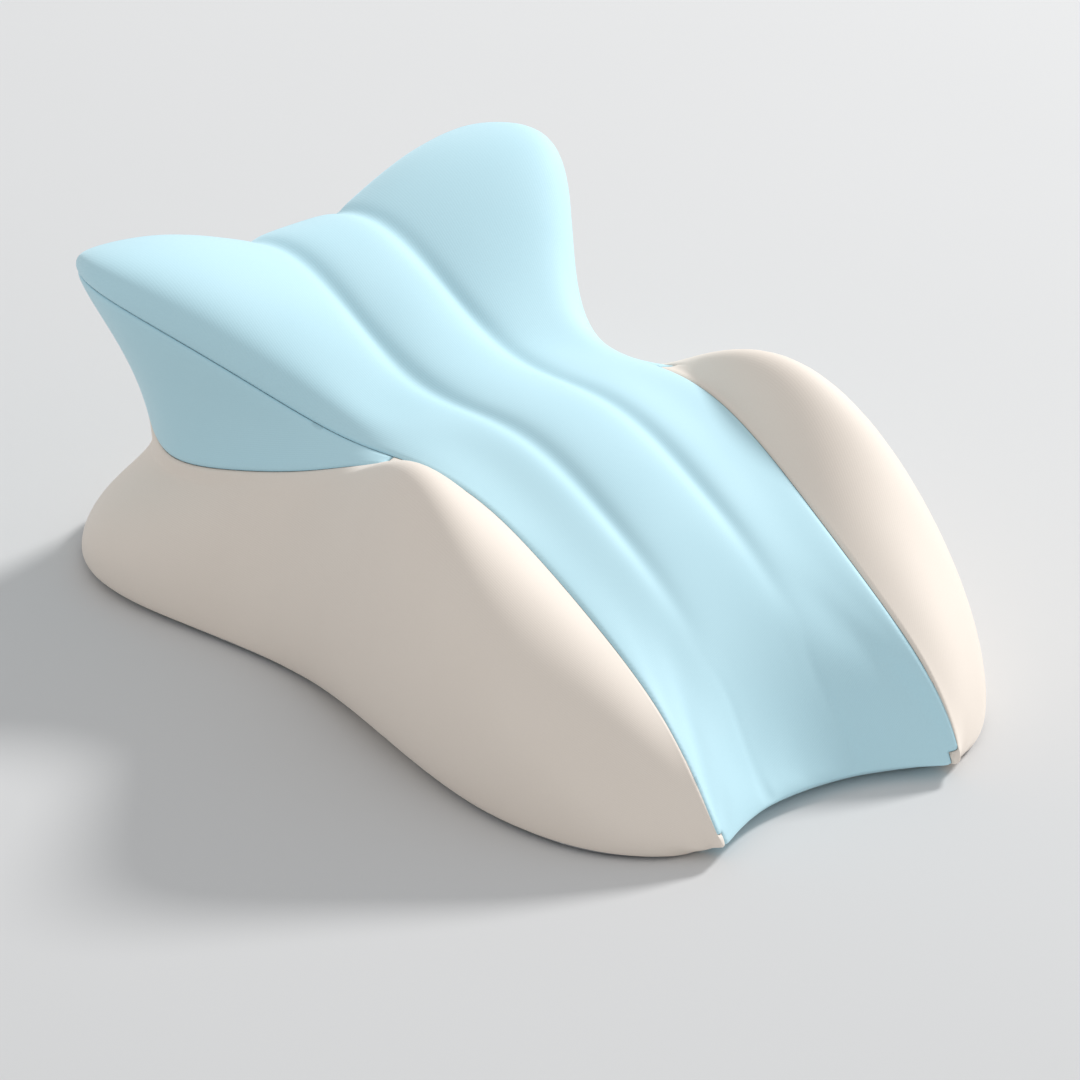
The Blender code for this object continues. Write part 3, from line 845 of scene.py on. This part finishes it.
def puff(piece):
    """Lets a gentle pressure fill the skin, and limits how far any point may move."""
    start = [v.co.copy() for v in piece.data.vertices]
    held = piece.vertex_groups.new(name="held")
    held.add(held_points(piece.data), 1.0, "REPLACE")
    cloth = piece.modifiers.new("Filling", "CLOTH")
    cloth.settings.vertex_group_mass = held.name
    cloth.settings.quality = 6
    cloth.settings.mass = 0.3
    cloth.settings.tension_stiffness = 12
    cloth.settings.compression_stiffness = 12
    cloth.settings.use_pressure = True
    cloth.settings.uniform_pressure_force = 4
    cloth.settings.effector_weights.gravity = 0
    cloth.point_cache.frame_end = FRAMES
    for number in range(1, FRAMES + 1):
        bpy.context.scene.frame_set(number)
    only(piece)
    bpy.ops.object.modifier_apply(modifier=cloth.name)
    moved = [v.co - place for v, place in zip(piece.data.vertices, start)]
    print("free movement in mm:", round(1000 * max(m.length for m in moved), 2))
    for vertex, place, move in zip(piece.data.vertices, start, moved):
        length = move.length
        vertex.co = place + move * (PUFF * math.tanh(length / PUFF) / max(length, TINY))


apply_subdivision(skin, 1)
puff(skin)
apply_subdivision(skin, 1)
print("skin faces after smoothing:", len(skin.data.polygons))

# %% [markdown]
# ## The grooves
#
# Two grooves are pressed into the foam and the cloth is bonded down in them. The smoothing rounded them
# off, so they are pushed in again here. They fade out before they reach the low front edge.

# %% Press the grooves in
GROOVE_EXTRA = 1.2 * MM
GROOVE_REACH = 4.5 * MM

top_points = set()
for polygon in skin.data.polygons:
    if polygon.material_index == PANELS.index("top_panel"):
        top_points.update(polygon.vertices)
pressed = {}
for number in top_points:
    vertex = skin.data.vertices[number]
    away = (abs(vertex.co.x) - GROOVE_OFFSET) / GROOVE_REACH
    depth = GROOVE_EXTRA * groove_strength(vertex.co.y) * math.exp(-away * away)
    pressed[number] = vertex.co - vertex.normal * depth
for number, place in pressed.items():
    skin.data.vertices[number].co = place
print("cloth points on the top panel:", len(top_points))

# %% [markdown]
# ## The channel for the zip
#
# The rear wall is pressed in along the zip, a little farther than the slider travels. The pull tab lies in
# this shallow channel, and it can swing over to either side and pass both ends of the zip.

# %% Press the rear wall in along the zip
CHANNEL_SLOPE = 7 * MM
TAB_CLEARANCE = 0.6 * MM
tab_low, tab_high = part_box("zip_pull_tab")
slider_low, slider_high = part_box("zip_slider")
channel_floor = tab_low.y - TAB_CLEARANCE
tab_hinge = (slider_low.x + slider_high.x) / 2
tab_end = tab_hinge + (tab_hinge - tab_low.x)
tab_half_height = (tab_high.z - tab_low.z) / 2 + TAB_CLEARANCE


def press_channel(mesh):
    """Lowers the wall to the channel's floor along the zip, with soft slopes, and counts the points."""
    pressed_count = 0
    for vertex in mesh.vertices:
        above = max(0.0, abs(vertex.co.z - zip_height) - tab_half_height)
        beyond = max(0.0, abs(vertex.co.x) - tab_end)
        nearness = max(0.0, 1 - math.hypot(above, beyond) / CHANNEL_SLOPE)
        if nearness > 0 and vertex.co.y > channel_floor:
            ease = nearness * nearness * (3 - 2 * nearness)
            vertex.co.y += ease * (channel_floor - vertex.co.y)
            pressed_count += 1
    return pressed_count


print("cloth points in the channel:", press_channel(skin.data))

# %% [markdown]
# ## The foam core
#
# The core is one foam moulding that fills the cover. It could be modelled on its own, but then it might
# poke through the cloth. So it is the skin again, drawn in past the thickness of the cloth. Behind the
# zip it steps back, which leaves room for the tapes.

# %% Make the core from the skin
CORE_INSET = 3.2 * MM
CORE_ROOM = 5 * MM
CORE_CLEARANCE = 1.0 * MM


def body_piece(piece, body, slot, *replaced):
    """Fixes a finished piece to its moving body and hides the measured parts that it stands in for."""
    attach(piece, body)
    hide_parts(*replaced)


core = new_piece("foam_core_moulding", skin.data.copy())
inward = [v.co - v.normal * CORE_INSET for v in core.data.vertices]
for vertex, place in zip(core.data.vertices, inward):
    vertex.co = place
    if near_zip(place, CORE_ROOM):
        vertex.co.y = min(place.y, tape_low.y - CORE_CLEARANCE)
core.data.materials.clear()
core.data.materials.append(foam_finish)
core.data.polygons.foreach_set("material_index", [0] * len(core.data.polygons))
only(core)
bpy.ops.object.shade_smooth()
body_piece(core, "pillow", "foam", "foam_core")
print("core faces:", len(core.data.polygons))

# %% [markdown]
# ## Sewing the panels
#
# The skin is taken apart again along its seams. Beside a seam, cloth bends down into the stitches over
# about two millimetres. The faces along the edge are cut into narrow rows, and the rows are lowered more
# and more towards the edge. Then each panel gets the thickness of the cloth with its padding layer.

# %% Cut rows beside a panel's edge and lower them
ROWS_BESIDE = 3
LIP_REACH = 2.3 * MM
LIP_DEPTH = 0.9 * MM
HALF_GAP = 0.1 * MM
CLOTH_THICKNESS = 1.2 * MM
EDGE_THICKNESS_SHARE = 0.2

# Which way is out, measured on the whole skin. Two panels then bend down into their seam side by side.
outward = skin.data.attributes.new("outward", "FLOAT_VECTOR", "POINT")
outward.data.foreach_set("vector", [part for vertex in skin.data.vertices for part in vertex.normal])


def cut_out(panel, name):
    """A copy of the skin with only one panel's faces."""
    number = PANELS.index(panel)
    piece = new_piece(name, skin.data.copy())
    shape = bmesh.new()
    shape.from_mesh(piece.data)
    others = [face for face in shape.faces if face.material_index != number]
    bmesh.ops.delete(shape, geom=others, context="FACES")
    shape.to_mesh(piece.data)
    shape.free()
    return piece


def cut_rows(piece):
    """Splits the faces along the edge into rows, as a loop cut does."""
    edit(piece, False)
    bpy.ops.mesh.select_mode(type="EDGE")
    shape = bmesh.from_edit_mesh(piece.data)
    rim = {v for e in shape.edges if e.is_boundary for v in e.verts}
    for edge in shape.edges:
        edge.select_set(len(rim.intersection(edge.verts)) == 1)
    bmesh.update_edit_mesh(piece.data)
    bpy.ops.mesh.subdivide(number_cuts=ROWS_BESIDE)
    done()


def rim_samples(mesh):
    """Points along a panel's open edges, each with its distance along the edge."""
    shape = bmesh.new()
    shape.from_mesh(mesh)
    open_edges = {e for e in shape.edges if e.is_boundary}
    samples = []
    while open_edges:
        edge = min(open_edges, key=lambda e: e.index)
        vertex = edge.verts[0]
        travelled = 0.0
        while edge is not None:
            open_edges.discard(edge)
            far = edge.other_vert(vertex)
            length = edge.calc_length()
            for step in range(8):
                samples.append((vertex.co.lerp(far.co, step / 8), travelled + length * step / 8))
            travelled += length
            vertex = far
            edge = next((e for e in vertex.link_edges if e in open_edges), None)
    shape.free()
    return samples


def lower_edge(piece):
    """Bends the edge of a panel down into its seam, and notes how far each point is from it."""
    samples = rim_samples(piece.data)
    finder = KDTree(len(samples))
    for number, (place, _) in enumerate(samples):
        finder.insert(place, number)
    finder.balance()
    found = [finder.find(v.co) for v in piece.data.vertices]
    from_seam = piece.data.attributes.new("from_seam", "FLOAT", "POINT")
    along_seam = piece.data.attributes.new("along_seam", "FLOAT", "POINT")
    from_seam.data.foreach_set("value", [hit[2] for hit in found])
    along_seam.data.foreach_set("value", [samples[hit[1]][1] for hit in found])
    outward = piece.data.attributes["outward"].data
    lowered = []
    for vertex, hit in zip(piece.data.vertices, found):
        share = max(0.0, 1 - hit[2] / LIP_REACH)
        lowered.append(vertex.co - outward[vertex.index].vector * LIP_DEPTH * share * share)
    for vertex, place in zip(piece.data.vertices, lowered):
        vertex.co = place


def pull_back_edge(piece):
    """Moves the very edge a hair back from its neighbour, so that the two panels don't touch."""
    shape = bmesh.new()
    shape.from_mesh(piece.data)
    moves = []
    for vertex in shape.verts:
        if vertex.is_boundary:
            inner = [e.other_vert(vertex).co for e in vertex.link_edges if not e.is_boundary]
            if inner:
                towards = (sum(inner, Vector()) / len(inner) - vertex.co).normalized()
                moves.append((vertex, towards * HALF_GAP))
    for vertex, move in moves:
        vertex.co += move
    shape.to_mesh(piece.data)
    shape.free()


def thicken(piece):
    """Gives a panel the thickness of its cloth, which is pressed thin at the very edge."""
    full = piece.vertex_groups.new(name="full_thickness")
    for number, away in enumerate(piece.data.attributes["from_seam"].data):
        full.add([number], min(1.0, away.value / LIP_REACH), "REPLACE")
    only(piece)
    wall = piece.modifiers.new("Cloth", "SOLIDIFY")
    wall.thickness = CLOTH_THICKNESS
    wall.offset = -1
    wall.vertex_group = full.name
    wall.thickness_vertex_group = EDGE_THICKNESS_SHARE
    bpy.ops.object.modifier_apply(modifier=wall.name)
    bpy.ops.object.shade_smooth()


# %% [markdown]
# ### The opening for the zip
#
# The rear wall has a long narrow slot over the zip's teeth. A Boolean would do it, but four straight
# slices and a deletion keep the faces beside the slot clean, and its edge gets the same lip as a seam.

# %% Cut the opening for the zip
SLOT_HALF_HEIGHT = 4 * MM
SLOT_CLEARANCE = 0.3 * MM
slot_half_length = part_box("zip_top_stop_upper")[1].x + SLOT_CLEARANCE


def cut_opening(piece):
    """Slices the rear band along the four sides of the opening, then takes out the cloth inside."""
    for side in (-1, 1):
        edit(piece, True)
        level = (0, 0, zip_height + side * SLOT_HALF_HEIGHT)
        bpy.ops.mesh.bisect(plane_co=level, plane_no=(0, 0, 1))
        bpy.ops.mesh.select_all(action="SELECT")
        bpy.ops.mesh.bisect(plane_co=(side * slot_half_length, 0, 0), plane_no=(1, 0, 0))
        done()
    shape = bmesh.new()
    shape.from_mesh(piece.data)
    inside = []
    for face in shape.faces:
        place = face.calc_center_median()
        if abs(place.x) < slot_half_length and abs(place.z - zip_height) < SLOT_HALF_HEIGHT:
            inside.append(face)
    bmesh.ops.delete(shape, geom=inside, context="FACES")
    shape.to_mesh(piece.data)
    shape.free()
    print("faces taken out for the zip:", len(inside))


# %% Sew each panel
COVER = {
    "top_panel": ("cover_top", "cover_blue_top", blue),
    "band_left": ("cover_band_left", "cover_blue_band_left", blue),
    "band_right": ("cover_band_right", "cover_blue_band_right", blue),
    "band_rear": ("cover_band_rear", "cover_blue_band_rear", blue),
    "side_panel_left": ("cover_side_left", "cover_cream_left", cream),
    "side_panel_right": ("cover_side_right", "cover_cream_right", cream),
    "base_panel": ("cover_base", "cover_grey_base", base_cloth),
}
for panel, (name, slot, finish) in COVER.items():
    piece = cut_out(panel, name)
    if panel == "band_rear":
        cut_opening(piece)
    cut_rows(piece)
    lower_edge(piece)
    pull_back_edge(piece)
    thicken(piece)
    piece.data.materials.clear()
    piece.data.materials.append(finish)
    piece.data.polygons.foreach_set("material_index", [0] * len(piece.data.polygons))
    body_piece(piece, "pillow", slot, panel)
    print(name, "faces:", len(piece.data.polygons))
bpy.data.objects.remove(skin)
for marker in markers:
    bpy.data.materials.remove(marker)

# %% [markdown]
# ## The studio
#
# The pillow stands on a pale seamless floor. One large soft light is off to its right, which throws a
# wide soft shadow to its left. The rest is an even pale sky light, so the shaded side stays light.

# %% Floor
bpy.ops.mesh.primitive_plane_add(size=12, location=(0, 0, -0.4 * MM))
floor = bpy.context.object
floor.name = "studio_floor"
paper, place = new_finish("pale_paper")
mottle = place.noise(3.0)
set_surface(paper, Base_Color=mottle.blend((0.695, 0.695, 0.695, 1), (0.715, 0.715, 0.715, 1)), Roughness=0.9)
floor.data.materials.append(paper)

# %% Lights
KEY_FROM = Vector((0.90, 0.16, 0.56)).normalized()
KEY_DISTANCE = 4.5

bpy.ops.object.light_add(type="AREA", location=KEY_DISTANCE * KEY_FROM)
key = bpy.context.object
key.name = "soft_key"
key.rotation_mode = "QUATERNION"
key.rotation_quaternion = KEY_FROM.to_track_quat("Z", "Y")
key.data.shape = "DISK"
key.data.size = 0.8
key.data.energy = 162

world = bpy.data.worlds.new("studio_sky")
bpy.context.scene.world = world
world.use_nodes = True
sky = world.node_tree.nodes["Background"]
sky.inputs["Color"].default_value = (0.97, 0.985, 1.0, 1)
sky.inputs["Strength"].default_value = 0.60
bpy.context.scene.view_settings.view_transform = "Standard"
print("lights placed")
